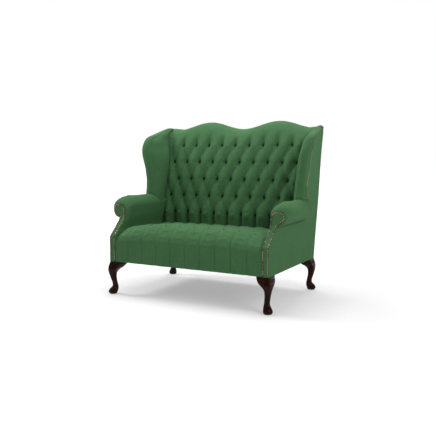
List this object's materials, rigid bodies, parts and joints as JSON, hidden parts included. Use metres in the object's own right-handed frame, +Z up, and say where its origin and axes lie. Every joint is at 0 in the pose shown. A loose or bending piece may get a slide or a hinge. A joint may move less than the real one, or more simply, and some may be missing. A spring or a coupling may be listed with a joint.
{
  "type": "high back settee",
  "caption": "Wing-sided high back settee with a deep buttoned seat and back, rolled arms, a humped crest, dome nail trim and polished cabriole legs.",
  "frame": {"origin": "floor level, centre of the settee's footprint box", "axes": "+X to the right seen from the front, +Y towards the back, +Z up"},
  "size_m": [1.2196, 0.8328, 1.0859],
  "materials": {
    "cover_fabric": "mid green felted wool cloth",
    "show_wood": "near-black red-brown wood, high gloss",
    "frame_wood": "plain unpolished hardwood",
    "board": "plain board",
    "nail_brass": "dull antique brass",
    "spring_steel": "bare wire and bolts",
    "glide_metal": "dull plated disc",
    "webbing": "undyed woven webbing and sacking",
    "dust_cloth": "thin black lining cloth"
  },
  "bodies": {
    "root": {"leg_front_left": "show_wood", "leg_front_right": "show_wood", "leg_rear_left": "show_wood", "leg_rear_right": "show_wood", "leg_bolts": "spring_steel", "glides": "glide_metal", "dust_cover": "dust_cloth", "front_rail": "frame_wood", "rear_rail": "frame_wood", "side_rail_left": "frame_wood", "side_rail_right": "frame_wood", "centre_rail": "frame_wood", "corner_blocks": "frame_wood", "arm_post_left": "frame_wood", "arm_post_right": "frame_wood", "arm_rail_left": "frame_wood", "arm_rail_right": "frame_wood", "arm_lining_left": "board", "arm_lining_right": "board", "back_post_left": "frame_wood", "back_post_right": "frame_wood", "crest_rail": "frame_wood", "back_lower_rail": "frame_wood", "back_stile": "frame_wood", "wing_board_left": "board", "wing_board_right": "board", "seat_springs": "spring_steel", "spring_clips": "spring_steel", "seat_platform": "webbing", "back_webbing": "webbing", "seat_pad": "cover_fabric", "back_pad": "cover_fabric", "arm_pad_left": "cover_fabric", "arm_pad_right": "cover_fabric", "wing_pad_left": "cover_fabric", "wing_pad_right": "cover_fabric", "outside_back": "cover_fabric", "outside_side_left": "cover_fabric", "outside_side_right": "cover_fabric", "arm_facing_left": "cover_fabric", "arm_facing_right": "cover_fabric", "seat_buttons": "cover_fabric", "back_buttons": "cover_fabric", "facing_nails_left": "nail_brass", "facing_nails_right": "nail_brass", "wing_nails_left": "nail_brass", "wing_nails_right": "nail_brass"}
  },
  "joints": []
}
